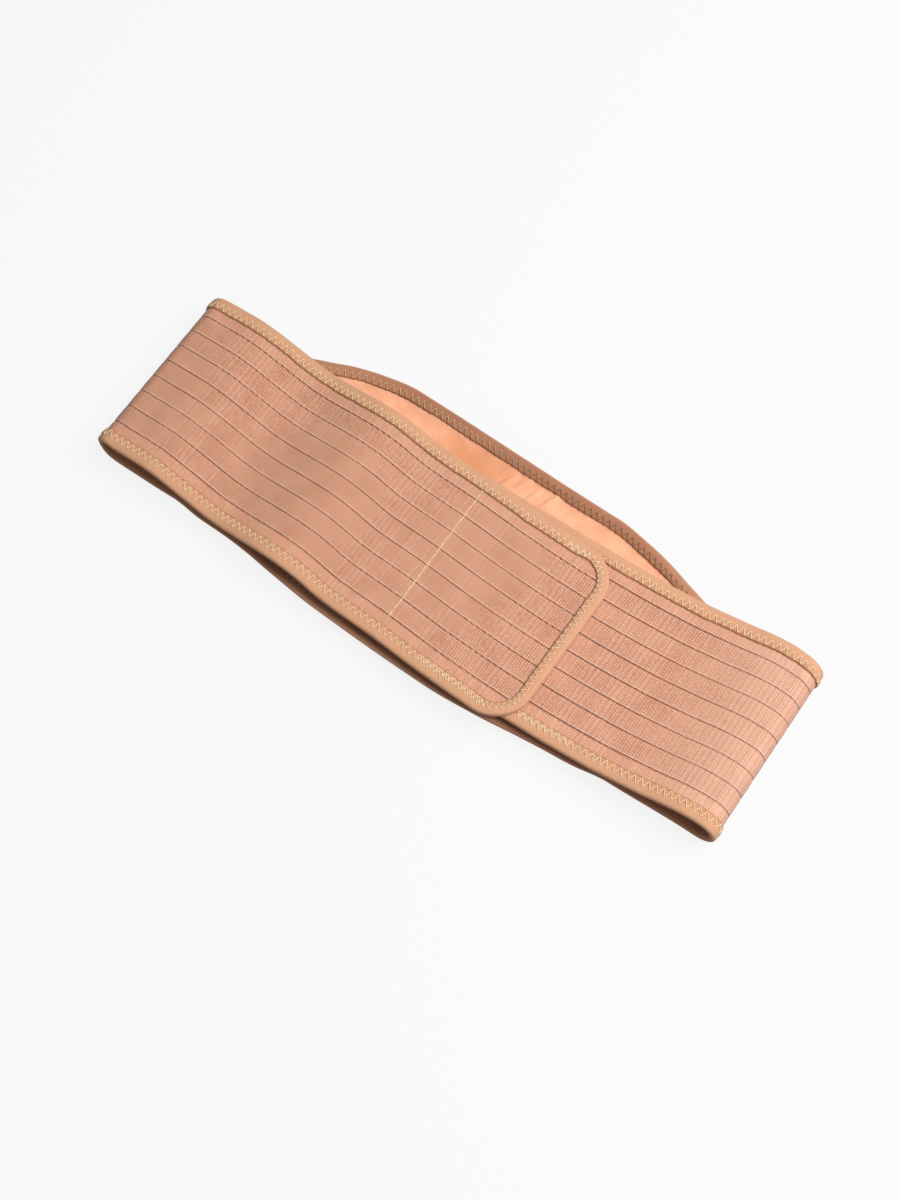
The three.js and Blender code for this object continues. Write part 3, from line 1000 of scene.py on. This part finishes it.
# Where the machine went over its own seam again: by the flap's two corners, and beside the flap
flap_bottom = end_length / 2 + long_edge
flap_top = flap_bottom + end_length
sewn_twice = [
    (flap_bottom - 0.045, flap_bottom + 0.007),
    (flap_top - 0.004, flap_top + 0.013),
    (end_length / 2 + 0.126, end_length / 2 + 0.163),
]
under_flap_start = whole_edge - end_length / 2 - 0.113
outer_runs = [
    zigzag(0.002, under_flap_start, 1, 31),
    zigzag(under_flap_start, whole_edge - 0.002, 1, 32, peak=0.003),
]
outer_runs += [zigzag(start, stop, 1, 35, peak=0.0042) for start, stop in sewn_twice]
thread_along("outer_zigzag", outer_runs, cream_thread)
bobbin_thread = finish_of("bobbin_thread", 0.8, 0.1, thread_height, 0.0001, inner_colour)
thread_along("inner_zigzag", [zigzag(0.002, whole_edge - 0.002, -1, 33)], bobbin_thread)

# Hook strip seam: a straight row of long cream stitches across the flap, which sews the hook
# strip on underneath. Its loose end stands up in a small fork by the top tape.
seam_top_x = -0.0050
seam_bottom_x = -0.0035
seam_top = 0.0545
seam_bottom = -0.0495
stitch_length = 0.0052
seam_thread_half = 0.00034
stitch_gap = 0.0006
fork_length = 0.0035


def straight_stitches():
    """One run for each stitch, with its ends sunk in the cloth, and two for the fork."""
    runs = []
    count = int((seam_top - seam_bottom) / stitch_length)
    luck = random.Random(51)
    for k in range(count):
        start = seam_top - k * stitch_length
        across = np.linspace(start - stitch_gap / 2, start - stitch_length + stitch_gap / 2, 7)
        share = (seam_top - across) / (seam_top - seam_bottom)
        x = seam_top_x + share * (seam_bottom_x - seam_top_x) + luck.uniform(-0.0001, 0.0001)
        along = left_course.along_at(x)
        raised = np.array([-1.2, 0.7, 1, 1, 1, 0.7, -1.2]) * seam_thread_half
        runs.append(left_course.place(along, across, elastic_thickness / 2 + 0.0001 + raised))
    for sway in (-0.0016, 0.0014):
        across = np.linspace(seam_top, seam_top + fork_length, 5)
        along = left_course.along_at(seam_top_x + sway * np.linspace(0, 1, 5))
        level = elastic_thickness / 2 + seam_thread_half
        runs.append(left_course.place(along, across, level + 0 * across))
    return runs


thread_along("hook_strip_stitches", straight_stitches(), cream_thread, seam_thread_half)

# Photographer's table: a white sweep whose glow is strongest for the camera, so that shadows on
# it stay faint. One large soft lamp stands above and behind the belt's right end, and a weak one
# in front, in a dim white room.
bpy.ops.object.select_all(action="DESELECT")
bpy.ops.mesh.primitive_plane_add(size=12, location=(0, 0, -0.0002))
table = bpy.context.object
table.name = "white_table"
white = bpy.data.materials.new("white_sweep")
white.use_nodes = True
sweep = white.node_tree.nodes["Principled BSDF"].inputs
sweep["Base Color"].default_value = rgb(0.08, 0.08, 0.08)
sweep["Roughness"].default_value = 1.0
sweep["Specular IOR Level"].default_value = 0.0
sweep["Emission Color"].default_value = rgb(1.0, 1.0, 1.0)
seen = put(white.node_tree, "ShaderNodeLightPath", {})
glow = sum_of(white.node_tree, "MULTIPLY_ADD", seen, 0.64, 0.22)
white.node_tree.links.new(glow, sweep["Emission Strength"])
table.data.materials.append(white)
table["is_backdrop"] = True

scene = bpy.context.scene
scene.view_settings.view_transform = "Standard"
world = bpy.data.worlds.new("white_room")
world.use_nodes = True
world.node_tree.nodes["Background"].inputs["Color"].default_value = rgb(1.0, 1.0, 1.0)
world.node_tree.nodes["Background"].inputs["Strength"].default_value = 0.18
scene.world = world


def square_lamp(name, place, size, energy):
    """A square lamp at a place, turned to the belt."""
    bpy.ops.object.light_add(type="AREA", location=place)
    lamp = bpy.context.object
    lamp.name = name
    lamp.data.shape = "SQUARE"
    lamp.data.size = size
    lamp.data.energy = energy
    lamp.rotation_euler = Vector(place).to_track_quat("Z", "Y").to_euler()


square_lamp("soft_lamp", (0.85, 0.50, 1.41), 1.5, 44)
square_lamp("fill_lamp", (-0.2, -1.3, 0.8), 0.5, 2)

# Camera: above the belt and a little to the right and front of it, held level
aim = np.array([0.01734, -0.02673, 0])
azimuth = math.radians(34.9)
elevation = math.radians(65.4)
away = 1.143
toward_camera = np.array(
    [
        math.sin(azimuth) * math.cos(elevation),
        -math.cos(azimuth) * math.cos(elevation),
        math.sin(elevation),
    ]
)
bpy.ops.object.camera_add(
    location=aim + away * toward_camera, rotation=(math.pi / 2 - elevation, 0, azimuth)
)
camera = bpy.context.object
camera.data.lens = 54
camera.data.sensor_width = 36
camera.data.clip_start = 0.01
scene.camera = camera

both = {"packed": packed_box, "visual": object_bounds()}
{name: [[float(c) for c in corner] for corner in b] for name, b in both.items()}
